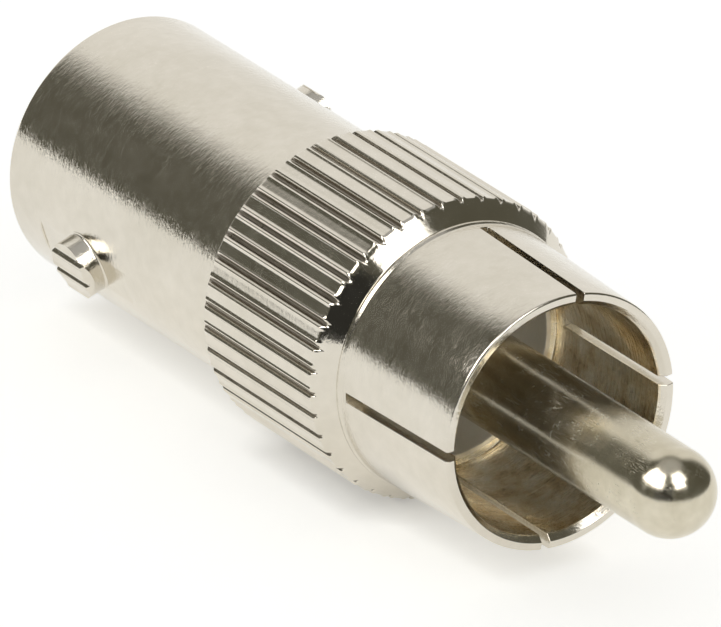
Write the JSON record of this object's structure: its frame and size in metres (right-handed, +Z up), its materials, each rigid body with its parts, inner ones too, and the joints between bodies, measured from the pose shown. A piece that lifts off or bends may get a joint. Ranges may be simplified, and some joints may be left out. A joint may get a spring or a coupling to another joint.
{
  "type": "straight bnc to rca adapter",
  "caption": "Straight coaxial adapter: bayonet jack barrel with lugs at one end, knurled grip collar, and a slotted collar round a round-nosed phono pin at the other.",
  "frame": {"origin": "on the ground under the middle of the box, as the adapter lies on its knurled collar", "axes": "+X along the turning axis towards the phono pin, -X out of the bayonet mouth, +Z up"},
  "size_m": [0.0344, 0.011, 0.011],
  "materials": {
    "nickel_body": "bright nickel plate on turned brass",
    "nickel_collar": "bright nickel plate on turned brass",
    "nickel_contact": "bright nickel plate on turned brass",
    "white_plastic": "smooth moulded white plastic"
  },
  "bodies": {
    "root": {"jack_body": "nickel_body", "plug_collar": "nickel_collar", "centre_contact": "nickel_contact", "jack_insulator": "white_plastic", "plug_insulator": "white_plastic"}
  },
  "joints": []
}
